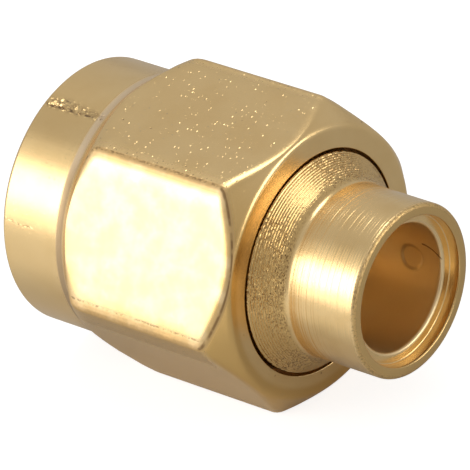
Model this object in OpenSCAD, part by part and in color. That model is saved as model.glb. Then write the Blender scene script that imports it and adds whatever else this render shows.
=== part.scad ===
// Straight coaxial plug for semi-rigid cable: a free-turning hex coupling nut on a turned body.
// Millimetres, +Z up. X is the plug's axis: the mating end points along -X, the cable end along +X.
// The origin is on the axis at the reference plane, the front face of the outer contact.
// The plug lies on one flat of its nut.

/* [Coupling nut] */
// Width across the hexagon's flats
nut_across_flats = 8; // [7.9:0.05:8.2]
// Radius that rounds the hexagon's six edges
nut_edge_radius = 0.25; // [0.15:0.05:0.35]
// Whole length of the nut
nut_length = 8.38; // [8.2:0.02:8.8]
// How far the nut's front face stands ahead of the reference plane
nut_reach = 3.4; // [3.2:0.05:3.6]
// Thickness of the round front part around the thread
nut_front_wall = 0.675; // [0.6:0.005:0.7]
// Length of the round front part, to where its line meets the cone's
nut_front_length = 2.38; // [2.2:0.02:2.6]
// Length of the front cone between the round part and the hexagon's edges
nut_front_cone_length = 0.85; // [0.7:0.05:1]
// Radius in the corner between the round part and the cone
nut_front_fillet = 0.45; // [0.3:0.05:0.6]
// Radial width and length of the 45 degree cone at the rear of the hexagon
nut_rear_chamfer = 0.72; // [0.6:0.02:0.8]
// Edge break around the front face
nut_front_break = 0.12; // [0.05:0.01:0.2]
// Outer diameter of the coupling thread (1/4-36 UNS)
thread_major_diameter = 6.35; // [6.35:0.01:6.4]
// Height of the thread, from its root at the outer diameter down to its crest
thread_height = 0.315; // [0.305:0.005:0.38]
// Pitch of the thread, 36 turns to the inch
thread_pitch = 0.7056; // [0.65:0.0001:0.75]
// Length of the threaded bore from the front face
thread_length = 4.4; // [4:0.1:4.6]
// How much the bore behind the thread clears the thread's outer diameter, all round
rear_bore_relief = 0.075; // [0.05:0.005:0.1]

/* [Body] */
// Radial gap between the body's flange and the nut's rear bore
nut_clearance = 0.09; // [0.05:0.01:0.1]
// Bore of the outer contact, which holds the insulator
outer_contact_bore = 4.13; // [4.11:0.01:4.16]
// Thickness of the outer contact's tube
outer_contact_wall = 0.22; // [0.18:0.01:0.23]
// Length of the outer contact from the reference plane to the flange
outer_contact_length = 2.7; // [2.6:0.05:2.8]
// Length of the cone behind the flange
cone_length = 0.85; // [0.75:0.05:0.95]
// Radius in the corner between the cone and the sleeve
cone_fillet = 0.3; // [0.2:0.05:0.4]
// Length of the cable sleeve behind the cone
sleeve_length = 2.33; // [2.1:0.01:2.6]
// Rounding of the sleeve's rim
rim_radius = 0.08; // [0.04:0.01:0.12]
// Cable diameter over its outer conductor
cable_diameter = 3.58; // [3.5:0.01:3.6]
// Radial gap between the cable and its bore
cable_clearance = 0.04; // [0.02:0.01:0.05]
// Depth from the sleeve's mouth to the shoulder that stops the cable
cable_depth = 3.8; // [3.6:0.05:4]
// Width of the step around the cable bore, at the bottom of the counterbore in the mouth
counterbore_step = 0.32; // [0.2:0.02:0.4]
// Depth of the counterbore
counterbore_depth = 0.36; // [0.3:0.02:0.5]
// Thickness of the sleeve's wall around the counterbore
rim_wall = 0.35; // [0.25:0.01:0.4]
// How far the shoulder that stops the cable reaches in from the cable bore
cable_stop = 0.33; // [0.25:0.01:0.4]
// Thickness of the web between cable bore and insulator
web_thickness = 0.66; // [0.5:0.02:0.8]
// Diameter of the round spot in the wall of the cable bore
spot_diameter = 0.74; // [0.6:0.02:0.9]
// Depth of the spot in the wall
spot_depth = 0.1; // [0.05:0.01:0.15]
// Distance of the spot's centre from the sleeve's mouth
spot_from_mouth = 1.43; // [1.2:0.01:1.6]
// Angle of the spot around the axis, from straight up towards +Y
spot_angle = 106; // [0:1:359]

/* [Snap ring] */
// Thickness along the axis
ring_thickness = 0.4; // [0.35:0.01:0.45]
// How far the ring sits inside the flange
ring_seat = 0.41; // [0.35:0.01:0.45]
// How far the ring reaches past the flange into the nut's groove
ring_bite = 0.29; // [0.25:0.01:0.32]
// Width of the split
ring_split = 1.6; // [1.2:0.1:2]
// Gap between the ring and each wall of its grooves
ring_clearance = 0.06; // [0.03:0.01:0.08]

/* [Insulator and contact] */
// Gap between the insulator and the metal on both sides of it
insulator_clearance = 0.015; // [0.01:0.005:0.02]
// How far the insulator's front face sits behind the reference plane
insulator_recess = 0.1; // [0.05:0.01:0.2]
// Diameter of the contact inside the insulator
contact_diameter = 1.27; // [1.25:0.01:1.3]
// Diameter of the pin
pin_diameter = 0.92; // [0.9:0.01:0.94]
// How far the pin stands ahead of the reference plane
pin_reach = 2.2; // [1.8:0.05:2.5]
// Length of the pin's tapered tip
tip_length = 0.45; // [0.35:0.05:0.5]
// Diameter of the flat on the tip
tip_diameter = 0.4; // [0.3:0.02:0.5]
// Height of the contact's shoulder behind the insulator
shoulder_height = 0.315; // [0.25:0.005:0.4]
// Distance of the contact's rear end from the shoulder that stops the cable
contact_setback = 0.1; // [0.05:0.01:0.2]
// Wall of the contact around the cup for the cable's centre wire
cup_wall = 0.155; // [0.12:0.005:0.17]
// Depth of that cup
cup_depth = 1.8; // [1.4:0.1:2]

/* [Gasket] */
// Thickness of the sealing ring in front of the flange
gasket_thickness = 0.9; // [0.8:0.05:1]
// Gap between the sealing ring and the nut around it
gasket_play = 0.25; // [0.15:0.01:0.3]
// Gap between the sealing ring and the outer contact
gasket_clearance = 0.015; // [0.01:0.005:0.03]

/* [Hidden] */
nut_front_x = -nut_reach;
nut_rear_x = nut_front_x + nut_length;
hex_start_x = nut_front_x + nut_front_length;
hex_edge_x = hex_start_x + nut_front_cone_length;
thread_end_x = nut_front_x + thread_length;
nut_corner = nut_across_flats / 2 / cos(30);
thread_major_r = thread_major_diameter / 2;
thread_r = thread_major_r - thread_height;
// width of the ridge at its root, at its crest, and where it is sunk into the wall
root_width = thread_pitch * 7 / 8;
crest_width = root_width - 2 * thread_height * tan(30);
thread_sink = thread_pitch / 10;
sunk_width = root_width + 2 * thread_sink * tan(30);
nut_front_r = thread_major_r + nut_front_wall;
nut_bore_r = thread_major_r + rear_bore_relief;
flange_r = nut_bore_r - nut_clearance;
cone_end_x = nut_rear_x + cone_length;
mouth_x = cone_end_x + sleeve_length;
step_x = mouth_x - counterbore_depth;
seat_x = mouth_x - cable_depth;
web_x = seat_x - web_thickness;
cable_bore_r = cable_diameter / 2 + cable_clearance;
counterbore_r = cable_bore_r + counterbore_step;
sleeve_r = counterbore_r + rim_wall;
window_r = cable_bore_r - cable_stop;
ring_x = (outer_contact_length + nut_rear_x) / 2;
groove_half = ring_thickness / 2 + ring_clearance;
ring_inner_r = flange_r - ring_seat;
ring_outer_r = flange_r + ring_bite;
body_groove_r = ring_inner_r - ring_clearance;
nut_groove_r = ring_outer_r + ring_clearance;
contact_r = contact_diameter / 2;
contact_rear_x = seat_x - contact_setback;
insulator_bore_r = outer_contact_bore / 2;
outer_contact_r = insulator_bore_r + outer_contact_wall;
// slopes of the nut's front cone and the body's cone, and how far their fillets reach past the corner
nut_cone_angle = atan2(nut_corner - nut_front_r, nut_front_cone_length);
nut_fillet_run = nut_front_fillet * tan(nut_cone_angle / 2);
cone_angle = atan2(flange_r - sleeve_r, cone_length);
fillet_run = cone_fillet * tan(cone_angle / 2);
gold = [0.82, 0.66, 0.38];
bronze = [0.72, 0.5, 0.28];
white = [0.93, 0.93, 0.9];
red = [0.72, 0.16, 0.12];
overshoot = 1;

$fn = 96;
turn_steps = 24;

// Turns a profile given as [distance along X, radius] points around the plug's axis.
module turned(points) {
    rotate([0, 90, 0]) rotate_extrude() polygon([for (p = points) [p[1], p[0]]]);
}

// A tube or rod along X between two positions.
module tube(from_x, to_x, outer_r, inner_r = 0) {
    turned([[from_x, inner_r], [from_x, outer_r], [to_x, outer_r], [to_x, inner_r]]);
}

// Points on an arc in [distance along X, radius] space, both ends included.
function arc(centre, radius, from, to, steps = 6) =
    [for (i = [0:steps]) let (a = from + (to - from) * i / steps)
        centre + radius * [cos(a), sin(a)]];

// A hexagon with two flats facing up and down and its six corners rounded.
module rounded_hexagon(across, corner_r) {
    side = (across / 2 - corner_r) / cos(30);
    rotate(30) circle(r = side, $fn = 6);
    for (a = [0, 60, 120]) rotate(a) square([across, side], center = true);
    for (a = [30:60:330]) rotate(a) translate([side, 0]) circle(r = corner_r);
}

module hexagon_bar() {
    translate([nut_front_x, 0, 0]) rotate([0, 90, 0])
        linear_extrude(nut_length) rounded_hexagon(nut_across_flats, nut_edge_radius);
}

// The round front, the front cone and the rear chamfer, which trim the hexagon bar.
module nut_envelope() {
    turned(concat([
        [nut_front_x, 0],
        [nut_front_x, nut_front_r - nut_front_break],
        [nut_front_x + nut_front_break, nut_front_r],
    ],
    arc([hex_start_x - nut_fillet_run, nut_front_r + nut_front_fillet], nut_front_fillet,
        270, 270 + nut_cone_angle),
    [
        [hex_edge_x, nut_corner],
        [nut_rear_x - nut_rear_chamfer, nut_corner],
        [nut_rear_x, nut_corner - nut_rear_chamfer],
        [nut_rear_x, 0],
    ]));
}

// One ridge wound into the bore as a right-handed thread, its root sunk into the wall.
module thread_ridge() {
    first_x = nut_front_x + thread_height + crest_width / 2;
    turns = (thread_end_x - sunk_width / 2 - first_x) / thread_pitch;
    steps = floor(turns * turn_steps);
    points = [for (i = [0:steps]) let (
            x = first_x + thread_pitch * i / turn_steps,
            a = 360 * i / turn_steps)
        for (p = [
                [-sunk_width / 2, thread_major_r + thread_sink],
                [-crest_width / 2, thread_r],
                [crest_width / 2, thread_r],
                [sunk_width / 2, thread_major_r + thread_sink]])
            [x + p[0], -p[1] * sin(a), p[1] * cos(a)]];
    polyhedron(points, concat(
        [[0, 1, 2, 3]],
        [for (i = [0:steps - 1]) for (k = [0:3]) let (n = (k + 1) % 4)
            for (half = [[4 * i + k, 4 * i + 4 + k, 4 * i + 4 + n], [4 * i + k, 4 * i + 4 + n, 4 * i + n]])
                half],
        [[4 * steps + 3, 4 * steps + 2, 4 * steps + 1, 4 * steps]]));
}

module nut_void() {
    turned([
        [nut_front_x - overshoot, 0],
        [nut_front_x - overshoot, thread_major_r],
        [thread_end_x, thread_major_r],
        [thread_end_x + rear_bore_relief, nut_bore_r],
        [ring_x - groove_half, nut_bore_r],
        [ring_x - groove_half, nut_groove_r],
        [ring_x + groove_half, nut_groove_r],
        [ring_x + groove_half, nut_bore_r],
        [nut_rear_x + overshoot, nut_bore_r],
        [nut_rear_x + overshoot, 0],
    ]);
}

module coupling_nut() {
    color(gold) union() {
        difference() {
            intersection() {
                hexagon_bar();
                nut_envelope();
            }
            nut_void();
        }
        thread_ridge();
    }
}

// Short round-ended cutter that marks the wall of the cable bore.
module wall_spot() {
    translate([mouth_x - spot_from_mouth, 0, 0]) rotate([-spot_angle, 0, 0])
        cylinder(r = spot_diameter / 2, h = cable_bore_r + spot_depth);
}

module connector_body() {
    color(gold) difference() {
        turned(concat([
            [0, insulator_bore_r],
            [0, outer_contact_r],
            [outer_contact_length, outer_contact_r],
            [outer_contact_length, flange_r],
            [ring_x - groove_half, flange_r],
            [ring_x - groove_half, body_groove_r],
            [ring_x + groove_half, body_groove_r],
            [ring_x + groove_half, flange_r],
            [nut_rear_x, flange_r],
        ],
        arc([cone_end_x + fillet_run, sleeve_r + cone_fillet], cone_fillet,
            270 - cone_angle, 270),
        arc([mouth_x - rim_radius, sleeve_r - rim_radius], rim_radius, 90, 0, 3),
        [
            [mouth_x, counterbore_r],
            [step_x, counterbore_r],
            [step_x, cable_bore_r],
            [seat_x, cable_bore_r],
            [seat_x, window_r],
            [web_x, window_r],
            [web_x, insulator_bore_r],
        ]));
        wall_spot();
    }
}

module snap_ring() {
    color(bronze) difference() {
        tube(ring_x - ring_thickness / 2, ring_x + ring_thickness / 2, ring_outer_r, ring_inner_r);
        translate([ring_x - ring_thickness, -ring_split / 2, 0])
            cube([2 * ring_thickness, ring_split, ring_outer_r + overshoot]);
    }
}

module insulator() {
    color(white) tube(insulator_recess, web_x, insulator_bore_r - insulator_clearance,
        contact_r + insulator_clearance);
}

module centre_contact() {
    pin_r = pin_diameter / 2;
    cup_r = contact_r - cup_wall;
    shoulder_r = contact_r + shoulder_height;
    color(gold) turned([
        [-pin_reach, 0],
        [-pin_reach, tip_diameter / 2],
        [-pin_reach + tip_length, pin_r],
        [insulator_recess, pin_r],
        [insulator_recess, contact_r],
        [web_x, contact_r],
        [web_x, shoulder_r],
        [contact_rear_x, shoulder_r],
        [contact_rear_x, cup_r],
        [contact_rear_x - cup_depth, cup_r],
        [contact_rear_x - cup_depth - cup_r / 2, 0],
    ]);
}

module gasket() {
    color(red) tube(outer_contact_length - gasket_thickness, outer_contact_length,
        nut_bore_r - gasket_play, outer_contact_r + gasket_clearance);
}

coupling_nut();
connector_body();
snap_ring();
insulator();
centre_contact();
gasket();
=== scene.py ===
import math

import bmesh
import bpy
from mathutils import Matrix, Vector


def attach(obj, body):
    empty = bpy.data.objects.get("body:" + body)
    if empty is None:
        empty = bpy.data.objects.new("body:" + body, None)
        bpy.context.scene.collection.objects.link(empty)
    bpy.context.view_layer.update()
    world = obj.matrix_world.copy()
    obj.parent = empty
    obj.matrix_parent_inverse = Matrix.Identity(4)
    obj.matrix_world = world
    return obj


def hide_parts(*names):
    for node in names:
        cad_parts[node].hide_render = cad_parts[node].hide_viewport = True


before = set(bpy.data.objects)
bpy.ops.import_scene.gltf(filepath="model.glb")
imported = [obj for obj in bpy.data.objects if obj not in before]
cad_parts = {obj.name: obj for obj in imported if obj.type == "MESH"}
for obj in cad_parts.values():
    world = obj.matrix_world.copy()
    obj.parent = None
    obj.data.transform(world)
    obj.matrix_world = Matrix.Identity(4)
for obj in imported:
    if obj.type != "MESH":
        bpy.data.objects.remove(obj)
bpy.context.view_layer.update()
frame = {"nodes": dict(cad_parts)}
mm = 0.001
print("frame loaded:", ", ".join(frame["nodes"]))


# camera and studio

view = {
    "place": (0.102494, -0.094058, 0.099244),
    "aim": (0.001757, 0.000126, -0.000161),
    "up": (-0.25006, 0.56353, 0.78734),  # the plug is shown a little tilted
    "lens": 467.4,
    "sensor": 36,
    "clip": (0.005, 10),
    "floorLevel": -0.004,
}


def setCamera():
    data = bpy.data.cameras.new("productCamera")
    data.lens = view["lens"]
    data.sensor_width = view["sensor"]
    data.clip_start, data.clip_end = view["clip"]
    camera = bpy.data.objects.new("productCamera", data)
    bpy.context.scene.collection.objects.link(camera)
    place, aim = Vector(view["place"]), Vector(view["aim"])
    back = (place - aim).normalized()
    up = Vector(view["up"])
    up = (up - back * up.dot(back)).normalized()
    turn = Matrix((up.cross(back), up, back)).transposed().to_4x4()
    camera.matrix_world = Matrix.Translation(place) @ turn
    bpy.context.scene.camera = camera


setCamera()
print("camera set")


# shader helpers


class Signal:
    # one socket of a shader tree, so that masks can be written as plain sums
    def __init__(self, tree, socket):
        self.tree, self.socket = tree, socket

    def sum(self, operation, *values):
        node = self.tree.nodes.new("ShaderNodeMath")
        node.operation = operation
        for slot, value in zip(node.inputs, values):
            join(self.tree, value, slot)
        return Signal(self.tree, node.outputs[0])

    def __add__(self, other):
        return self.sum("ADD", self, other)

    def __radd__(self, other):
        return self.sum("ADD", other, self)

    def __sub__(self, other):
        return self.sum("SUBTRACT", self, other)

    def __rsub__(self, other):
        return self.sum("SUBTRACT", other, self)

    def __mul__(self, other):
        return self.sum("MULTIPLY", self, other)

    def __truediv__(self, other):
        return self.sum("DIVIDE", self, other)

    def root(self):
        return self.sum("SQRT", self)

    def away(self):
        return self.sum("ABSOLUTE", self)

    def atMost(self, other):
        return self.sum("MINIMUM", self, other)

    def atLeast(self, other):
        return self.sum("MAXIMUM", self, other)


def join(tree, value, slot):
    if isinstance(value, Signal):
        tree.links.new(value.socket, slot)
    else:
        slot.default_value = value


class Finish:
    # a material and the few calls that its tree is written with
    def __init__(self, name):
        self.material = bpy.data.materials.new(name)
        self.material.use_nodes = True
        self.tree = self.material.node_tree
        self.tree.nodes.clear()

    def node(self, kind, settings=None, values=None, out=0):
        made = self.tree.nodes.new(kind)
        for name, value in (settings or {}).items():
            setattr(made, name, value)
        for name, value in (values or {}).items():
            join(self.tree, value, made.inputs[name])
        return Signal(self.tree, made.outputs[out])

    def place(self):
        return self.node("ShaderNodeTexCoord", out="Object")

    def split(self, vector):
        node = self.tree.nodes.new("ShaderNodeSeparateXYZ")
        join(self.tree, vector, node.inputs[0])
        return [Signal(self.tree, o) for o in node.outputs]

    def vector(self, x, y, z):
        return self.node("ShaderNodeCombineXYZ", None, {"X": x, "Y": y, "Z": z})

    def noise(self, vector, scale, detail=2.0, rough=0.5):
        return self.node("ShaderNodeTexNoise", None,
                         {"Vector": vector, "Scale": scale, "Detail": detail, "Roughness": rough})

    def toolLines(self, place, across):
        # lines left by turning: close together along the axis, drawn out around it
        x, y, z = self.split(place)
        drawn = across / 100
        return self.noise(self.vector(x * across, y * drawn, z * drawn), 1.0, 3.0, 0.6)

    def cells(self, vector, scale, out="Distance"):
        return self.node("ShaderNodeTexVoronoi", None, {"Vector": vector, "Scale": scale}, out)

    def ramp(self, value, low, high, start=0.0, end=1.0):
        return self.node("ShaderNodeMapRange", {"interpolation_type": "SMOOTHSTEP"},
                         {"Value": value, "From Min": low, "From Max": high,
                          "To Min": start, "To Max": end})

    def blend(self, factor, first, second):
        return self.node("ShaderNodeMix", {"data_type": "RGBA"},
                         {0: factor, 6: first, 7: second}, 2)

    def band(self, value, middle, half, soft):
        # 1 within half of the middle, 0 further away than half + soft
        return self.ramp((value - middle).away(), half, half + soft, 1.0, 0.0)

    def window(self, value, start, full, fade, end):
        # rises from start to full and falls again from fade to end
        return self.ramp(value, start, full) * self.ramp(value, end, fade)

    def bump(self, height, distance):
        return self.node("ShaderNodeBump", None, {"Height": height, "Distance": distance})

    def tilted(self, normal, colour, amount):
        # small facets: each cell's own colour leans the surface its own way
        middle = self.node("ShaderNodeVectorMath", {"operation": "SUBTRACT"},
                           {0: colour, 1: (0.5, 0.5, 0.5)})
        lean = self.node("ShaderNodeVectorMath", {"operation": "SCALE"},
                         {0: middle, "Scale": amount})
        total = self.node("ShaderNodeVectorMath", {"operation": "ADD"}, {0: normal, 1: lean})
        return self.node("ShaderNodeVectorMath", {"operation": "NORMALIZE"}, {0: total})

    def solid(self, values):
        return self.done(self.node("ShaderNodeBsdfPrincipled", None, values))

    def done(self, shader):
        end = self.tree.nodes.new("ShaderNodeOutputMaterial")
        join(self.tree, shader, end.inputs["Surface"])
        return self.material


def tint(red, green, blue):
    return (red, green, blue, 1.0)


def weighted(masks, shares):
    # the sum of the masks named in shares, each times its share
    total = 0.0
    for name, share in shares.items():
        total = masks[name] * share + total
    return total


def strongest(masks, shares):
    # the same, but only the largest of them counts
    most = 0.0
    for name, share in shares.items():
        most = (masks[name] * share).atLeast(most)
    return most


# floor, tent and lamps

studio = {
    "floorSize": 1.2,        # from the middle to each side
    "floorPaint": 0.52,      # the floor's own grey, which takes the shadow
    "floorShown": 0.78,      # added white where the floor is looked at
    "floorNear": 0.07,       # added white that metal shows, close to the plug
    "floorLit": 0.32,        # the same on the lamp's side, further out
    "litWay": (-0.2, -0.98),
    "nearFrom": (-0.002, 0.002),
    "litFrom": (0.006, 0.011),
    "tent": 0.46,            # soft light from all round
    "card": {"way": (0.7, -0.69, 0.14), "away": 0.34, "wide": 0.17, "high": 0.2,
             "paint": (0.12, 0.065, 0.03), "rough": 0.9},
}

# seen from the plug: which way, how far away, width, height and glow
lamps = {
    "softbox": {"way": (-0.59, -0.7, 0.4), "away": 0.36, "wide": 0.15, "high": 0.15, "glow": 2.1},
    "softboxRim": {"way": (-0.59, -0.73, 0.33), "away": 0.37, "wide": 0.24, "high": 0.27, "glow": 0.8},
    "spill": {"way": (-0.58, -0.7, 0.4), "away": 0.4, "wide": 0.42, "high": 0.42, "glow": 0.34},
    "strip": {"way": (-0.16, 0.33, 0.92), "away": 0.36, "wide": 0.15, "high": 0.17, "glow": 2.9},
    "rearFill": {"way": (0.86, 0.36, 0.16), "away": 0.4, "wide": 0.3, "high": 0.2, "glow": 2.6},
}


def shownFactor(tree, whole, part):
    # whole for the camera, part for what metal and clear things show of it
    rays = tree.nodes.new("ShaderNodeLightPath")
    eye = Signal(tree, rays.outputs["Is Camera Ray"])
    metal = Signal(tree, rays.outputs["Is Glossy Ray"])
    glass = Signal(tree, rays.outputs["Is Transmission Ray"])
    return eye * whole + (metal + glass) * part


def flatSheet(name, halfX, halfY, place):
    mesh = bpy.data.meshes.new(name)
    corners = [(-halfX, -halfY, 0), (halfX, -halfY, 0), (halfX, halfY, 0), (-halfX, halfY, 0)]
    mesh.from_pydata(corners, [], [(0, 1, 2, 3)])
    mesh.transform(place)
    sheet = bpy.data.objects.new(name, mesh)
    bpy.context.scene.collection.objects.link(sheet)
    return sheet


def facingPlug(thing):
    way = Vector(thing["way"]).normalized()
    aimed = way.to_track_quat("Z", "Y").to_matrix().to_4x4()
    return Matrix.Translation(way * thing["away"]) @ aimed


def linear(value, start, end):
    return ((value - start) / (end - start)).atLeast(0.0).atMost(1.0)


def makeFloor():
    size = studio["floorSize"]
    floor = flatSheet("paperFloor", size, size, Matrix.Translation((0, 0, view["floorLevel"])))
    f = Finish("paper")
    paint = f.node("ShaderNodeBsdfDiffuse", None, {"Color": tint(*[studio["floorPaint"]] * 3)})
    # a painted patch of lamp light on the paper: glow that only metal and clear things show, further
    # out on the lamp's side
    x, y = f.split(f.place())[:2]
    wayX, wayY = studio["litWay"]
    out = x * wayX + y * wayY
    near, lit = studio["floorNear"], studio["floorLit"]
    inMetal = (linear(out, *studio["litFrom"]) * (lit - near)
               + linear(out, *studio["nearFrom"]) * near)
    glow = f.node("ShaderNodeEmission", None,
                  {"Strength": shownFactor(f.tree, studio["floorShown"], inMetal)})
    floor.data.materials.append(f.done(f.node("ShaderNodeAddShader", None, {0: paint, 1: glow})))


def makeTent():
    world = bpy.data.worlds.new("lightTent")
    bpy.context.scene.world = world
    world.use_nodes = True
    tree = world.node_tree
    tree.nodes.clear()
    back = tree.nodes.new("ShaderNodeBackground")
    back.inputs["Color"].default_value = tint(1, 1, 1)
    level = studio["tent"] + shownFactor(tree, 1 - studio["tent"], 0.0)
    join(tree, level, back.inputs["Strength"])
    end = tree.nodes.new("ShaderNodeOutputWorld")
    tree.links.new(back.outputs[0], end.inputs["Surface"])


def hangLamp(name, lamp):
    data = bpy.data.lights.new(name, "AREA")
    data.shape = "RECTANGLE"
    data.size, data.size_y = lamp["wide"], lamp["high"]
    # the power that makes the lamp's own face this bright
    data.energy = lamp["glow"] * math.pi * lamp["wide"] * lamp["high"]
    light = bpy.data.objects.new(name, data)
    bpy.context.scene.collection.objects.link(light)
    light.matrix_world = facingPlug(lamp)


def standCard(card):
    # a dark card beside the camera, which draws the edges of bright metal
    board = flatSheet("darkCard", card["wide"] / 2, card["high"] / 2, facingPlug(card))
    board.visible_camera = False
    board.visible_diffuse = False
    board.visible_shadow = False
    f = Finish("darkCard")
    board.data.materials.append(f.solid({
        "Base Color": tint(*card["paint"]), "Roughness": card["rough"]}))


makeFloor()
makeTent()
for name, lamp in lamps.items():
    hangLamp(name, lamp)
standCard(studio["card"])
bpy.context.scene.view_settings.view_transform = "Standard"
print("floor, tent and lamps set")


# mesh helpers


# a round takes at most this share of each side beside it, and its holding rows stand a little
# further out than its ends
rounding = {"steps": 5, "share": 0.42, "hold": 1.15}


def softProfile(corners):
    # corners are (x, r, softness); each soft corner becomes a small round with a holding row
    # on both sides, so that the long faces between them stay flat
    count, steps = len(corners), rounding["steps"]
    rows = []
    for i, (x, r, soft) in enumerate(corners):
        here = Vector((x, r))
        if soft == 0:
            rows.append(here)
            continue
        before = Vector(corners[i - 1][:2]) - here
        after = Vector(corners[(i + 1) % count][:2]) - here
        back = before.normalized() * min(soft, before.length * rounding["share"])
        ahead = after.normalized() * min(soft, after.length * rounding["share"])
        rows.append(here + back * rounding["hold"])
        for s in range(steps + 1):
            u = s / steps
            rows.append((here + back) * (1 - u) ** 2 + here * 2 * u * (1 - u) + (here + ahead) * u * u)
        rows.append(here + ahead * rounding["hold"])
    return [(p[0], p[1]) for p in rows]


def arcPoints(centreX, centreR, radius, start, end, steps):
    angles = [math.radians(start + (end - start) * i / steps) for i in range(steps + 1)]
    return [(centreX + radius * math.cos(a), centreR + radius * math.sin(a), 0) for a in angles]


def around(x, r, angle):
    # angle runs from straight up towards -Y
    return (x * mm, -r * math.sin(angle) * mm, r * math.cos(angle) * mm)


def gridMesh(name, columns, closedRows=True, closedRound=True):
    # columns are lists of points; neighbours are joined, and the last with the first
    verts = [p for column in columns for p in column]
    rows, total = len(columns[0]), len(columns)
    faces = []
    for c in range(total if closedRound else total - 1):
        nextC = (c + 1) % total
        for k in range(rows if closedRows else rows - 1):
            nextK = (k + 1) % rows
            faces.append((c * rows + k, nextC * rows + k, nextC * rows + nextK, c * rows + nextK))
    if not closedRound:
        faces.append(tuple(range(rows)))
        faces.append(tuple(range((total - 1) * rows, total * rows)))
    mesh = bpy.data.meshes.new(name)
    mesh.from_pydata(verts, [], faces)
    return tidyMesh(mesh)


def tidyMesh(mesh):
    work = bmesh.new()
    work.from_mesh(mesh)
    bmesh.ops.remove_doubles(work, verts=work.verts, dist=1e-8)
    bmesh.ops.recalc_face_normals(work, faces=work.faces)
    work.to_mesh(mesh)
    work.free()
    mesh.shade_smooth()
    return mesh


def turned(name, rows, count, closed=True):
    angles = [2 * math.pi * i / count for i in range(count)]
    return gridMesh(name, [[around(x, r, a) for x, r in rows] for a in angles], closed)


def addPiece(mesh, material, body, nodes):
    piece = bpy.data.objects.new(mesh.name, mesh)
    bpy.context.scene.collection.objects.link(piece)
    mesh.materials.clear()
    mesh.materials.append(material)
    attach(piece, body)
    if nodes:
        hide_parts(*nodes)
    print("piece:", mesh.name, len(mesh.polygons), "faces")


def runTree(name, tree, values):
    # runs a Geometry Nodes tree once and gives back the plain mesh
    holder = bpy.data.objects.new(name + "Work", bpy.data.meshes.new(name + "Seed"))
    bpy.context.scene.collection.objects.link(holder)
    modifier = holder.modifiers.new("nodes", "NODES")
    modifier.node_group = tree
    for item in tree.interface.items_tree:
        if item.item_type == "SOCKET" and item.in_out == "INPUT" and item.name in values:
            modifier[item.identifier] = values[item.name]
    graph = bpy.context.evaluated_depsgraph_get()
    result = bpy.data.meshes.new_from_object(holder.evaluated_get(graph), depsgraph=graph)
    bpy.data.objects.remove(holder)
    result.name = name
    return result


# finishes
# a mask's numbers are its start and end, sometimes with its values there; a line's numbers are
# its middle, half width and softness

goldTones = {
    "plating": tint(1.0, 0.715, 0.345),
    "worn": tint(0.95, 0.66, 0.30),
    # dark tone for dirt, pits and scratches, and on the nut also for a painted shade line
    "dirt": tint(0.26, 0.14, 0.06),
    "shoulderSheen": tint(0.82, 0.66, 0.47),
    # painted sheen on the upper part of the nut's shoulder
    "bright": tint(1.0, 0.75, 0.41),
    # painted shade on the nut's rear face and chamfer
    "deep": tint(0.82, 0.52, 0.18),
    # tone of the torn tool marks on the body's cone, also used as painted shade there and on the rim
    # face
    "torn": tint(0.77, 0.505, 0.195),
    # painted shade at the rounded edges of the nut's flats
    "paintedEdgeShade": tint(0.7, 0.48, 0.22),
    "shade": tint(0.5, 0.36, 0.22),
    # painted light: a paler gold that brightens the body's bore
    "bore": tint(1.0, 0.76, 0.42),
}

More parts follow.
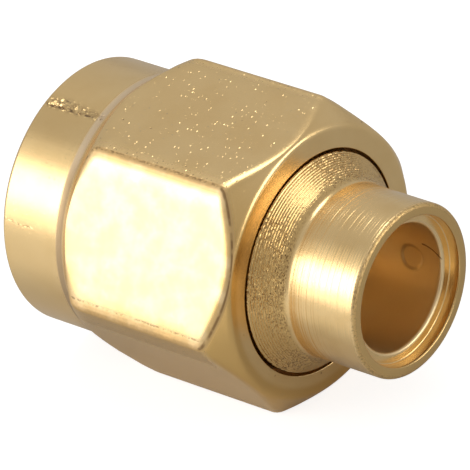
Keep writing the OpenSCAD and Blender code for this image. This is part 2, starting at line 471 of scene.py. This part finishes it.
nutLook = {
    "rough": 0.235,
    "lampWay": (-0.866, 0.5),           # y and z of the normal of the flat that faces the lamp
    # noises and cells, in repeats per metre
    "grain": 15000,
    "cloud": 700,
    "patches": 1500,
    "mottling": 1500,
    "wear": 11000,
    "flecks": 15500,
    "pits": 5200,
    "chips": 15500,
    "scratches": 6000,
    "shadeLineBreaks": 2500,
    "sway": (1400, 0.35),               # and how far it moves the lines of nicks, mm
    # flecks, pits and chips: how much of its cell each one fills, and which cells have one
    "fleckStretch": (1.0, 0.55, 0.8),
    "fleckSize": (0.2, 0.36, 1.0, 0.0),
    "fleckShare": 0.64,
    "fleckCrowding": 0.9,
    "fleckPower": (0.0, 0.9, 0.32, 1.0),
    "fleckLean": 0.95,
    "rearFlecks": (6.55, 6.65, 1.0, 0.25),
    "pitSize": (0.1, 0.2, 1.0, 0.0),
    "pitShare": (0.95, 0.96),
    "dotShare": (0.46, 0.6),
    "cornerDots": 0.15,
    "chipSlant": (0.75, 0.3),
    "chipShare": (0.25, 0.4),
    "chipDirt": (0.55, 0.45),
    "chipDent": (0.0, 0.5, 1.0, 0.0),
    "chipLean": 0.85,
    # mm along the normal of the lamp's flat
    "lampFlat": (3.9, 3.97),
    "border": (3.84, 3.9, 3.955, 3.99),
    "upperEdge": (3.905, 0.012, 0.03),
    "shadeLine": (3.925, 0.008, 0.022),
    # mm up from the axis
    "upperHalf": (0.5, 1.0),
    "lowerEdge": (0.24, 0.012, 0.03),
    "underEdge": (-0.35, 0.5, 0.14),
    "sheenToShade": (3.4, 2.7),
    "nickTop": (-1.0, 0.8),
    # mm to the side
    "lowerSide": (-3.8, -4.0),
    "underSide": (-3.6, -3.9),
    # mm along the axis
    "frontEnd": (-1.0, -0.8),
    "edges": (-0.9, -0.6, 4.2, 4.35),
    "shadeLineX": (4.15, 4.25),
    "shoulder": (-1.22, 0.09, 0.08),
    # mm out from the axis
    "outside": (3.5, 3.6),
    "shoulderReach": (3.8, 3.83),
    "corners": (4.43, 4.5),
    # degrees from straight up, from x, to x (mm), half width (mm), strength
    "nickLines": [(13.5, -3.25, -1.15, 0.21, 1.0), (67.5, -3.35, -2.2, 0.05, 0.35)],
    "nickEnds": (0.1, 0.15),
    "scratchLine": (-0.45, 0.018, 0.035),   # where in the line's width, half width, softness (mm)
    # real dirt marks, and the shadeLine entry, which is painted shade in the same dark tone
    "dirt": {"pits": 0.7, "scratch": 0.85, "dots": 0.6, "nickDirt": 0.35, "shadeLine": 0.75},
    "relief": {"grain": 0.3, "pits": -1.8, "scratch": -2.0, "dots": -1.2, "nickDents": -2.5},
    "roughness": {"grain": 0.05, "flecks": -0.12, "edge": 0.08, "shoulder": 0.24, "border": 0.25,
                  "under": 0.1},
    "bump": 0.0000026,
}


def inMillimetres(x, y, z):
    # along the axis, to the side, up, and out from the axis
    along, aside, up = x * 1000, y * 1000, z * 1000
    return along, aside, up, (aside * aside + up * up).root()


def nickMasks(f, along, aside, up, reach):
    # lines of nicks down the round front, each with a dark scratch under it
    nicks, scratch = 0.0, 0.0
    scale, far = nutLook["sway"]
    ends, fade = nutLook["nickEnds"]
    low, half, soft = nutLook["scratchLine"]
    for turn, fromX, toX, wide, power in nutLook["nickLines"]:
        a = math.radians(turn)
        off = aside * math.cos(a) + up * math.sin(a) + (f.noise(f.place(), scale) - 0.5) * far
        span = f.band(along, (fromX + toX) / 2, (toX - fromX) / 2 - ends, fade) * power
        span = span * f.ramp(up, *nutLook["nickTop"]) * f.ramp(reach, *nutLook["outside"])
        nicks = (f.band(off, 0.0, wide * 0.25, wide) * span).atLeast(nicks)
        scratch = (f.band(off, wide * low, half, soft) * span).atLeast(scratch)
    return nicks, scratch


def flatGold():
    # satin plating over milled flats: grain, bright flecks, a few pits and lines of nicks, with
    # painted sheen and painted shade on the shoulder, rear face and edges
    f = Finish("goldNut")
    look = nutLook
    place = f.place()
    x, y, z = f.split(place)
    along, aside, up, reach = inMillimetres(x, y, z)
    masks = {"grain": f.noise(place, look["grain"], 3.0, 0.6)}
    # the flat that faces the lamp is polished smooth, and the round front nearly so
    lampY, lampZ = look["lampWay"]
    lampSide = aside * lampY + up * lampZ
    lampFlat = f.ramp(lampSide, *look["lampFlat"])
    calm = 1.0 - lampFlat.atLeast(f.ramp(along, *look["frontEnd"], 0.85, 0.0))

    # flecks: small flat facets, more of them on some patches, few on the rear chamfer
    wideX, wideY, wideZ = look["fleckStretch"]
    fleckPlace = f.vector(x * wideX, y * wideY, z * wideZ)
    fleckColour = f.cells(fleckPlace, look["flecks"], "Color")
    pick, power = f.split(fleckColour)[:2]
    crowd = pick + f.noise(place, look["patches"]) * look["fleckCrowding"]
    few = 1.43 - look["fleckShare"]
    flecks = f.ramp(f.cells(fleckPlace, look["flecks"]), *look["fleckSize"])
    flecks = flecks * f.ramp(crowd, few, few + 0.04) * f.ramp(power, *look["fleckPower"])
    masks["flecks"] = flecks * f.ramp(along + reach * 0.5, *look["rearFlecks"]) * calm
    pits = f.ramp(f.cells(place, look["pits"]), *look["pitSize"])
    pitPick = f.split(f.cells(place, look["pits"], "Color"))[1]
    masks["pits"] = pits * f.ramp(pitPick, *look["pitShare"]) * calm

    # worn dots along the long edges, and painted shade in a band under the lower one
    edge = f.ramp(reach, *look["corners"])
    span = f.window(along, *look["edges"])
    upperHalf = f.ramp(up, *look["upperHalf"])
    upper = f.band(lampSide, *look["upperEdge"]) * upperHalf
    lower = f.band(up, *look["lowerEdge"]) * f.ramp(aside, *look["lowerSide"])
    lines = (upper.atLeast(lower) * span).atLeast(edge * look["cornerDots"])
    dots = f.ramp(f.noise(place, look["wear"], 2.0, 0.7), *look["dotShare"])
    masks["edge"] = edge
    masks["dots"] = dots * lines * (1.0 - lampFlat * upperHalf)
    masks["under"] = f.band(up, *look["underEdge"]) * f.ramp(aside, *look["underSide"]) * span
    # painted shade at the rounded borders of the lamp's flat
    masks["border"] = f.window(lampSide, *look["border"]) * f.ramp(along, *look["frontEnd"])
    # painted shade: a dark line where the lamp side's flat meets the rear chamfer, broken up by noise
    shadeLine = f.band(lampSide, *look["shadeLine"]) * f.ramp(along, *look["shadeLineX"])
    masks["shadeLine"] = shadeLine * f.ramp(f.noise(place, look["shadeLineBreaks"]), 0.3, 0.5)

    nicks, scratch = nickMasks(f, along, aside, up, reach)
    slantX, slantZ = look["chipSlant"]
    chipPlace = f.vector(x * slantX + z * slantZ, y, z)
    chipColour = f.cells(chipPlace, look["chips"], "Color")
    chipPick = f.split(chipColour)[2]
    chipped = nicks * f.ramp(chipPick, *look["chipShare"])
    masks["scratch"] = scratch * f.ramp(f.noise(place, look["scratches"]), 0.4, 0.55)
    masks["nickDirt"] = nicks * f.ramp(chipPick, *look["chipDirt"])
    masks["nickDents"] = nicks * f.ramp(f.cells(chipPlace, look["chips"]), *look["chipDent"])

    # painted light: a paler sheen on the top of the shoulder and painted shade below it, painted shade
    # as deeper gold on the rear face and chamfer, and painted shade at the borders
    cloud = f.noise(place, look["cloud"], 3.0, 0.55)
    tone = f.blend(f.ramp(cloud, 0.3, 0.75), goldTones["plating"], goldTones["worn"])
    shoulder = f.band(along, *look["shoulder"]) * f.ramp(reach, *look["shoulderReach"])
    masks["shoulder"] = shoulder
    # the shoulder is painted: a paler sheen at the top, painted shade lower down
    shoulderSheenAndShade = f.blend(f.ramp(up, *look["sheenToShade"]), goldTones["shoulderSheen"], goldTones["shade"])
    tone = f.blend(shoulder * 0.8, tone, shoulderSheenAndShade)
    # painted shade: deeper gold on the rear face and chamfer, fading out towards +Y
    deep = f.ramp(along + reach * 0.72, 7.5, 7.65) * f.ramp(aside + up * 0.4, 2.0, -3.0)
    tone = f.blend(deep * 0.85, tone, goldTones["deep"])
    # painted shade at the borders of the lamp's flat and in the band under the lower edge
    tone = f.blend(strongest(masks, {"border": 0.8, "under": 0.6}), tone, goldTones["paintedEdgeShade"])
    mottled = f.noise(place, look["mottling"], 3.0)
    tone = f.blend(f.ramp(mottled, 0.4, 0.72) * lampFlat, tone, goldTones["bright"])
    tone = f.blend(f.ramp(mottled, 0.5, 0.3) * lampFlat * 0.8, tone, goldTones["worn"])
    # dirt marks, and the painted shade line along the rear chamfer's edge
    tone = f.blend(strongest(masks, look["dirt"]), tone, goldTones["dirt"])

    bump = f.bump(weighted(masks, look["relief"]), look["bump"])
    leaned = f.tilted(bump, fleckColour, masks["flecks"] * look["fleckLean"])
    leaned = f.tilted(leaned, chipColour, chipped * look["chipLean"])
    rough = look["rough"] + weighted(masks, look["roughness"])
    return f.solid({"Base Color": tone, "Metallic": 1.0, "Roughness": rough, "Normal": leaned})


# the round mark in the cable bore: where, degrees from straight up, radius, depth, soft edge,
# and the radius of the bore it lies in
boreSpot = {"x": 6.73, "turn": -106.0, "radius": 0.37, "depth": 0.03, "edge": 0.05, "bore": 1.83}

bodyLook = {
    "rough": 0.2,
    # noises and cells, in repeats per metre
    "grain": 18000,
    "lines": 26000,
    "cloud": 1300,
    "sides": 420,
    "chips": 30000,
    "wear": 13000,
    "cone": (4.99, 5.73),               # mm along the axis, where the tool marks are
    "coneSoft": 0.12,
    "coneChips": (0.26, 0.14),
    "coneLean": 0.55,
    "inside": (1.95, 1.87),             # mm out from the axis
    "boreEnd": (4.2, 4.4),              # mm along the axis, and so for the next ones
    "rimFace": (8.08, 8.14),
    "rimX": (8.04, 8.1),
    "rimReach": (2.36, 2.43),
    # the scratch beside the mark: turning point x and z, how fast it bends, and where it is seen
    "scratch": {"x": 7.15, "up": 0.02, "bend": 0.85, "wide": (0.012, 0.03),
                "span": (7.45, 0.28, 0.06)},
    "dirt": {"chips": 0.65, "spot": 0.18, "scratch": 0.85, "rimPits": 0.4},
    "relief": {"grain": 0.3, "lines": 0.6, "boreLines": 1.2, "rimPits": -1.5},
    "roughness": {"grain": 0.08, "inside": 0.14, "rim": 0.1},
    "bump": 0.000003,
}


def turnedGold():
    # fine tool lines all over, torn tool marks on the cone with painted shade on its lamp side,
    # painted shade on the rim face, painted light in the bore, a rougher bore
    f = Finish("goldBody")
    look = bodyLook
    place = f.place()
    x, y, z = f.split(place)
    along, aside, up, reach = inMillimetres(x, y, z)
    lines = f.toolLines(place, look["lines"])
    inside = f.ramp(reach, *look["inside"]) * f.ramp(along, *look["boreEnd"])
    masks = {"grain": f.noise(place, look["grain"], 3.0, 0.6), "lines": lines,
             "inside": inside, "boreLines": lines * inside}
    fromX, toX = look["cone"]
    cone = f.band(along, (fromX + toX) / 2, (toX - fromX) / 2, look["coneSoft"])
    cone = cone * f.ramp(reach, 2.4, 2.5)
    torn = cone * (0.25 + f.ramp(f.noise(place, look["sides"], 2.0, 0.4), 0.42, 0.62) * 0.75)
    # chips follow the tool's path, so they are short across it and long along it
    chipColour = f.cells(f.vector(x * 1.4, y * 0.7, z * 0.7), look["chips"], "Color")
    masks["chips"] = torn * f.ramp(f.split(chipColour)[1], *look["coneChips"])

    # the round mark in the bore is a little darker, and a curved scratch lies beside it
    turn, size = math.radians(boreSpot["turn"]), boreSpot["radius"]
    gapX = along - boreSpot["x"]
    gapY = aside + boreSpot["bore"] * math.sin(turn)
    gapZ = up - boreSpot["bore"] * math.cos(turn)
    gap = (gapX * gapX + gapY * gapY + gapZ * gapZ).root()
    spot = f.band(gap, size, 0.015, 0.07).atLeast(f.ramp(gap, size, size - boreSpot["edge"]))
    masks["spot"] = spot * inside
    mark = look["scratch"]
    bend = along - mark["x"]
    curve = f.band(up - mark["up"] + bend * bend * mark["bend"], 0.0, *mark["wide"])
    masks["scratch"] = curve * f.band(along, *mark["span"]) * f.ramp(aside, 1.5, 1.6) * inside
    # pits on the outside of the rim
    rim = f.ramp(reach, *look["rimReach"]) * f.ramp(along, *look["rimX"])
    masks["rim"] = rim
    masks["rimPits"] = rim * f.ramp(f.noise(place, look["wear"], 3.0, 0.65), 0.46, 0.6)

    cloud = f.noise(place, look["cloud"])
    tone = f.blend(f.ramp(cloud, 0.35, 0.7), goldTones["plating"], goldTones["worn"])
    # the cone's torn tone is partly the tool marks' own tone and partly painted shade, strongest on
    # the upper front towards the lamp
    lampSideConeShade = f.ramp(aside, -0.6, -1.8) * f.ramp(up, -2.2, -0.8)
    tone = f.blend(cone * (0.65 + lampSideConeShade * 0.3), tone, goldTones["torn"])
    # painted shade: the rim face in the darker torn tone, where it reflects the floor in the plug's
    # shadow
    tone = f.blend(f.ramp(along, *look["rimFace"]) * 0.8, tone, goldTones["torn"])
    # painted light: the bore in a paler gold, to brighten the hollow
    tone = f.blend(inside, tone, goldTones["bore"])
    tone = f.blend(strongest(masks, look["dirt"]), tone, goldTones["dirt"])
    bump = f.bump(weighted(masks, look["relief"]), look["bump"])
    rough = look["rough"] + weighted(masks, look["roughness"])
    return f.solid({"Base Color": tone, "Metallic": 1.0, "Roughness": rough,
                    "Normal": f.tilted(bump, chipColour, torn * look["coneLean"])})


def contactGold():
    f = Finish("goldContact")
    place = f.place()
    lines = f.toolLines(place, 30000)
    tone = f.blend(f.noise(place, 1500), goldTones["plating"], goldTones["worn"])
    return f.solid({"Base Color": tone, "Metallic": 1.0, "Roughness": 0.16 + lines * 0.1,
                    "Normal": f.bump(lines, 0.0000015)})


def springBronze():
    f = Finish("springBronze")
    place = f.place()
    grain = f.noise(place, 9000, 3.0)
    tone = f.blend(grain, tint(0.74, 0.46, 0.25), tint(0.55, 0.32, 0.16))
    return f.solid({"Base Color": tone, "Metallic": 1.0, "Roughness": 0.26 + grain * 0.14,
                    "Normal": f.bump(grain, 0.000003)})


def whiteInsulator():
    f = Finish("whiteInsulator")
    place = f.place()
    cloud = f.noise(place, 2500, 3.0)
    y, z = f.split(place)[1:]
    rings = f.noise((y * y + z * z).root() * 14000, 1.0)
    tone = f.blend(cloud, tint(0.86, 0.855, 0.83), tint(0.78, 0.775, 0.745))
    return f.solid({"Base Color": tone, "Roughness": 0.42 + cloud * 0.14, "IOR": 1.38,
                    "Subsurface Weight": 0.25, "Subsurface Radius": (0.0006, 0.0006, 0.0005),
                    "Normal": f.bump(rings + cloud, 0.000004)})


def redGasket():
    f = Finish("redGasket")
    place = f.place()
    cloud = f.noise(place, 5000, 4.0)
    tone = f.blend(cloud, tint(0.52, 0.07, 0.045), tint(0.38, 0.04, 0.03))
    return f.solid({"Base Color": tone, "Roughness": 0.45 + cloud * 0.2, "IOR": 1.42,
                    "Normal": f.bump(cloud, 0.000008)})


goldNut = flatGold()
goldBody = turnedGold()
goldContact = contactGold()
print("finishes made")


# coupling nut

nut = {
    "acrossFlats": 8.0,
    "edgeRound": 0.25,
    "edgeColumns": 8,
    "edgeHold": 1.14,               # the first column on a flat, as a share of the edge's angle
    "columnsPerFlat": 34,
    "crown": (1.7, 0.16),           # where the flats start to fall away to their edges, and how fast
    "front": -3.4,
    "rear": 4.98,
    "frontRadius": 3.85,
    "frontBreak": 0.12,
    "cone": (-1.0, -0.36),
    "fillet": 0.8,
    "filletShare": 0.94,            # of the fillet's turn, before the soft corner takes over
    "filletSteps": 8,
    "chamfer": 0.72,
    "threadMajor": 3.175,
    "threadEnd": 1.0,
    "threadBreak": (0.1, 0.02),     # at the front
    "threadRelief": 0.3,            # at the back
    "rearBore": 3.25,
    "groove": (3.84, 0.26, 3.51),   # middle, half width, radius
    "frontSoft": 0.44,
    "rearSoft": 0.24,
    "faceSoft": 0.11,
}
sixth = math.pi / 3
flatShare = math.cos(sixth / 2)     # of a corner's reach, how far the flats reach


def edgeMiddle():
    # distance from the axis to the middle of the round on a long edge
    return (nut["acrossFlats"] / 2 - nut["edgeRound"]) / flatShare


def edgeAngle(turn):
    # angle at the axis between the long edge and the point where its round has turned this far
    small = nut["edgeRound"]
    return math.atan2(small * math.sin(turn), edgeMiddle() + small * math.cos(turn))


def hexReach(offset):
    # distance from the axis to the rounded hexagon, offset radians away from a corner
    apothem, small, centre = nut["acrossFlats"] / 2, nut["edgeRound"], edgeMiddle()
    limit = edgeAngle(sixth / 2)
    side = apothem * math.tan(sixth / 2 - max(abs(offset), limit))
    begin, fall = nut["crown"]
    drop = fall * max(0, side - begin) ** 2
    if abs(offset) <= limit:
        across = centre * math.sin(offset)
        return centre * math.cos(offset) + math.sqrt(small ** 2 - across ** 2) - drop
    return (apothem - drop) / math.cos(sixth / 2 - abs(offset))


def hexAngles():
    # angles round the nut, each with its distance from the nearest corner
    steps, flats = nut["edgeColumns"], nut["columnsPerFlat"]
    edge = [edgeAngle(sixth * (i / steps - 0.5)) for i in range(steps + 1)]
    hold = edge[-1] * nut["edgeHold"]
    between = [hold + (sixth - 2 * hold) * i / flats for i in range(flats + 1)]
    angles = []
    for k in range(6):
        corner = sixth / 2 + k * sixth
        angles += [(corner + o, abs(o)) for o in edge]
        angles += [(corner + o, min(o, sixth - o)) for o in between]
    return angles


def nutColumn(offset):
    reach = hexReach(offset)
    corner = nut["acrossFlats"] / 2 / flatShare
    coneStart, coneEnd = nut["cone"]
    shoulder, base = nut["fillet"], nut["frontRadius"]
    slope = (corner - base) / (coneEnd - coneStart)
    lean = math.degrees(math.atan(slope))
    filletX = coneStart - shoulder * math.tan(math.radians(lean / 2))
    front, rear = nut["front"], nut["rear"]
    middle, half, deep = nut["groove"]
    bore, major = nut["rearBore"], nut["threadMajor"]
    breakX, breakR = nut["threadBreak"]
    # over the middle of a flat the round of the shoulder is cut off before it becomes the cone
    rise = reach - base
    bend = math.degrees(math.acos(1 - rise / shoulder))
    if bend < lean:
        meet = filletX + shoulder * math.sin(math.radians(bend))
    else:
        bend, meet = lean, coneStart + rise / slope
    return softProfile([
        (front, major + breakR, 0.02),
        (front, base - nut["frontBreak"], 0.03),
        (front + nut["frontBreak"], base, 0.05),
        *arcPoints(filletX, base + shoulder, shoulder, 270, 270 + bend * nut["filletShare"],
                   nut["filletSteps"]),
        (meet, reach, nut["frontSoft"]),
        (rear - nut["chamfer"] + corner - reach, reach, nut["rearSoft"]),
        (rear, corner - nut["chamfer"], nut["faceSoft"]),
        (rear, bore, 0.03),
        (middle + half, bore, 0.02),
        (middle + half, deep, 0.04),
        (middle - half, deep, 0.04),
        (middle - half, bore, 0.02),
        (nut["threadEnd"] + nut["threadRelief"], bore, 0.05),
        (nut["threadEnd"], major, 0.05),
        (front + breakX, major, 0.02),
    ])


def makeNut():
    columns = [[around(x, r, angle) for x, r in nutColumn(offset)] for angle, offset in hexAngles()]
    return gridMesh("couplingNut", columns)


addPiece(makeNut(), goldNut, "nut", ["coupling_nut"])


# thread inside the nut

# the ridge is sunk a little into the wall, so its root is wider than at the wall
thread = {"pitch": 0.7056, "crest": 2.86, "wall": 3.175, "sink": 0.07, "from": -2.958, "turns": 5.08}


def threadTree():
    tree = bpy.data.node_groups.new("threadRidge", "GeometryNodeTree")
    face = tree.interface
    for name in ("Turns", "Length", "Middle Radius", "Root Width", "Crest Width", "Height", "Start"):
        face.new_socket(name, in_out="INPUT", socket_type="NodeSocketFloat")
    face.new_socket("Finish", in_out="INPUT", socket_type="NodeSocketMaterial")
    face.new_socket("Geometry", in_out="OUTPUT", socket_type="NodeSocketGeometry")

    def node(kind, settings=None, values=None):
        made = tree.nodes.new(kind)
        for key, value in (settings or {}).items():
            setattr(made, key, value)
        for key, value in (values or {}).items():
            if hasattr(value, "is_linked"):
                tree.links.new(value, made.inputs[key])
            else:
                made.inputs[key].default_value = value
        return made

    ask = node("NodeGroupInput").outputs
    spiral = node("GeometryNodeCurveSpiral", None, {
        "Resolution": 64, "Rotations": ask["Turns"], "Start Radius": ask["Middle Radius"],
        "End Radius": ask["Middle Radius"], "Height": ask["Length"], "Reverse": True})
    upright = node("GeometryNodeSetCurveNormal", {"mode": "Z_UP"}, {"Curve": spiral.outputs[0]})
    profile = node("GeometryNodeCurvePrimitiveQuadrilateral", {"mode": "TRAPEZOID"}, {
        "Bottom Width": ask["Root Width"], "Top Width": ask["Crest Width"],
        "Height": ask["Height"], "Offset": 0.0})
    inward = node("GeometryNodeTransform", None, {
        "Geometry": profile.outputs[0], "Rotation": (0, 0, math.pi / 2)})
    swept = node("GeometryNodeCurveToMesh", None, {
        "Curve": upright.outputs[0], "Profile Curve": inward.outputs[0], "Fill Caps": True})
    move = node("ShaderNodeCombineXYZ", None, {"X": ask["Start"]})
    laid = node("GeometryNodeTransform", None, {
        "Geometry": swept.outputs[0], "Translation": move.outputs[0],
        "Rotation": (math.pi, -math.pi / 2, 0)})
    real = node("GeometryNodeRealizeInstances", None, {"Geometry": laid.outputs[0]})
    done = node("GeometryNodeSetMaterial", None, {
        "Geometry": real.outputs[0], "Material": ask["Finish"]})
    end = node("NodeGroupOutput")
    tree.links.new(done.outputs[0], end.inputs[0])
    return tree


def makeThread():
    slant = math.tan(math.pi / 6)   # flanks lean 30 degrees to each side
    root = thread["wall"] + thread["sink"]
    rootWidth = thread["pitch"] * 7 / 8 + 2 * thread["sink"] * slant
    mesh = runTree("nutThread", threadTree(), {
        "Turns": thread["turns"], "Length": thread["turns"] * thread["pitch"] * mm,
        "Middle Radius": (root + thread["crest"]) / 2 * mm, "Root Width": rootWidth * mm,
        "Crest Width": (rootWidth - 2 * (root - thread["crest"]) * slant) * mm,
        "Height": (root - thread["crest"]) * mm, "Start": thread["from"] * mm, "Finish": goldNut})
    return tidyMesh(mesh)


addPiece(makeThread(), goldNut, "nut", [])
print("nut made")


# body

body = {
    "columns": 280,
    "contactBore": 2.065,
    "contactRadius": 2.285,
    "flange": (2.7, 4.98, 3.16),    # from x, to x, radius
    "groove": (3.84, 0.26, 2.69),   # middle, half width, radius
    "cone": (4.98, 5.83, 2.5),      # from x, to x, the sleeve's radius
    "fillet": 0.3,
    "filletSteps": 10,
    "mouth": 8.16,
    "rim": 0.12,
    "rimSteps": 5,
    "counterbore": (7.8, 2.15),     # where it ends, radius
    "cableBore": 4.36,              # where it ends
    "window": (3.7, 1.5),           # the hole in the web: where it starts, radius
    # rows to a groove, and over how many rows the grooves fade
    "coneGrooves": {"count": 13, "rows": 5, "depth": 0.02, "fade": 18},
    "sleeveGrooves": {"pitch": 0.083, "rows": 4, "depth": 0.004, "fade": 24},
    "spotRows": {"reach": 0.48, "apart": 0.03},
}


def coneGrooves(start, end):
    # ring marks down the cone, which run out towards the fillet
    groove = body["coneGrooves"]
    down = (end - start).normalized()
    inward = Vector((down[1], -down[0]))
    steps = groove["count"] * groove["rows"]
    rows = []
    for i in range(1, steps):
        fade = min(1, (steps - i) / groove["fade"])
        deep = groove["depth"] * fade * math.sin(math.pi * i / groove["rows"]) ** 2
        p = start + (end - start) * i / steps + inward * deep
        rows.append((p[0], p[1]))
    return rows


def sleeveGrooves(start, length, radius):
    # some turns cut deeper than others, and the first ones hardly at all
    groove = body["sleeveGrooves"]
    perTurn = groove["rows"]
    steps = round(length / groove["pitch"]) * perTurn
    rows = []
    for i in range(1, steps):
        uneven = 0.75 + 0.5 * math.sin(i // perTurn * 2.4)
        deep = groove["depth"] * uneven * min(1, i / groove["fade"])
        rows.append((start + length * i / steps, radius - deep * math.sin(math.pi * i / perTurn) ** 2))
    return rows


def bodyRows():
    flangeStart, flangeEnd, flange = body["flange"]
    middle, half, deep = body["groove"]
    coneStart, coneEnd, sleeve = body["cone"]
    lean = math.degrees(math.atan((flange - sleeve) / (coneEnd - coneStart)))
    filletX = coneEnd + body["fillet"] * math.tan(math.radians(lean / 2))
    filletR = sleeve + body["fillet"]
    mouth, rim = body["mouth"], body["rim"]
    step, counter = body["counterbore"]
    seat, cable = body["cableBore"], boreSpot["bore"]
    web, window = body["window"]
    bore, tube = body["contactBore"], body["contactRadius"]
    outside = softProfile([
        (0, bore, 0.02), (0, tube, 0.03), (flangeStart, tube, 0.02),
        (flangeStart, flange, 0.04), (middle - half, flange, 0.02), (middle - half, deep, 0.03),
        (middle + half, deep, 0.03), (middle + half, flange, 0.02), (flangeEnd, flange, 0.03),
        (coneEnd, sleeve, 0),
    ])[:-1]
    fillet = arcPoints(filletX, filletR, body["fillet"], 270 - lean, 270, body["filletSteps"])
    edge = arcPoints(mouth - rim, sleeve - rim, rim, 90, 0, body["rimSteps"])
    inside = softProfile([
        (mouth, sleeve - rim, 0), (mouth, counter, 0.06), (step, counter, 0.04), (step, cable, 0.12),
        (seat, cable, 0.03), (seat, window, 0.03), (web, window, 0.03), (web, bore, 0.02),
        (0, bore, 0),
    ])[1:-1]
    rows = outside + coneGrooves(Vector(outside[-1]), Vector(fillet[0][:2]))
    rows += [(x, r) for x, r, _ in fillet]
    rows += sleeveGrooves(filletX, mouth - rim - filletX, sleeve)
    rows += [(x, r) for x, r, _ in edge]
    return rows + withSpotRows(inside, cable)


def withSpotRows(rows, cable):
    # extra rows in the cable bore, close together where the round mark is
    at, size = boreSpot["x"], boreSpot["radius"]
    reach, apart = body["spotRows"]["reach"], body["spotRows"]["apart"]
    count = round(2 * reach / apart) + 1
    out = []
    for i, p in enumerate(rows):
        out.append(p)
        if i + 1 < len(rows) and p[0] > at + size > at - size > rows[i + 1][0]:
            out += [(at + reach - apart * k, cable) for k in range(count)]
    return out


def spotDepth(x, r, angle):
    swing = (angle - math.radians(boreSpot["turn"]) + math.pi) % (2 * math.pi) - math.pi
    if abs(r - boreSpot["bore"]) > 0.001 or abs(swing) > math.pi / 2:
        return 0
    gap = math.hypot(x - boreSpot["x"], r * math.sin(swing))
    u = min(max((boreSpot["radius"] - gap) / boreSpot["edge"], 0), 1)
    return boreSpot["depth"] * u * u * (3 - 2 * u)


def makeBody():
    rows = bodyRows()
    columns = []
    for i in range(body["columns"]):
        angle = 2 * math.pi * i / body["columns"]
        columns.append([around(x, r + spotDepth(x, r, angle), angle) for x, r in rows])
    return gridMesh("connectorBody", columns)


addPiece(makeBody(), goldBody, "plug", ["connector_body"])
print("body made")


# contact, insulator, gasket, snap ring

contact = {
    "columns": 96,
    "tip": (-2.2, 0.2, 0.45),       # x, radius, length of the taper
    "pin": 0.46,
    "inside": (0.1, 3.7, 0.635),    # from x, to x, radius
    "shoulder": (4.26, 0.95),       # end, radius
    "cup": (0.48, 1.8),             # radius, depth
}


def makeContact():
    tipX, tipR, taper = contact["tip"]
    start, end, inside = contact["inside"]
    rear, shoulder = contact["shoulder"]
    cup, deep = contact["cup"]
    rows = softProfile([
        (tipX, 0, 0), (tipX, tipR, 0.06), (tipX + taper, contact["pin"], 0.05),
        (start, contact["pin"], 0.01), (start, inside, 0.02), (end, inside, 0.02),
        (end, shoulder, 0.03), (rear, shoulder, 0.04), (rear, cup, 0.04),
        (rear - deep, cup, 0.02), (rear - deep - cup / 2, 0, 0)])
    return turned("centreContact", rows, contact["columns"], closed=False)


insulator = {"from": 0.1, "to": 3.7, "inner": 0.65, "outer": 2.05, "soft": 0.04, "columns": 128}
gasket = {"from": 1.8, "to": 2.7, "inner": 2.3, "outer": 3.0, "soft": 0.22, "columns": 128}
ring = {"from": 3.64, "to": 4.04, "inner": 2.75, "outer": 3.45, "soft": 0.07, "columns": 160,
        "split": 1.6}


def tubeRows(size):
    corners = [("from", "inner"), ("from", "outer"), ("to", "outer"), ("to", "inner")]
    return softProfile([(size[x], size[r], size["soft"]) for x, r in corners])


def makeTube(name, size):
    return turned(name, tubeRows(size), size["columns"])


def makeRing():
    # a tube with a gap, whose ends are flat and parallel
    columns = []
    for i in range(ring["columns"] + 1):
        column = []
        for x, r in tubeRows(ring):
            begin = math.asin(ring["split"] / 2 / r)
            column.append(around(x, r, begin + 2 * (math.pi - begin) * i / ring["columns"]))
        columns.append(column)
    return gridMesh("snapRing", columns, closedRound=False)


addPiece(makeContact(), goldContact, "plug", ["centre_contact"])
addPiece(makeTube("insulatorBead", insulator), whiteInsulator(), "plug", ["insulator"])
addPiece(makeTube("sealingRing", gasket), redGasket(), "plug", ["gasket"])
addPiece(makeRing(), springBronze(), "plug", ["snap_ring"])
print("inner pieces made")


# end

print("scene built")
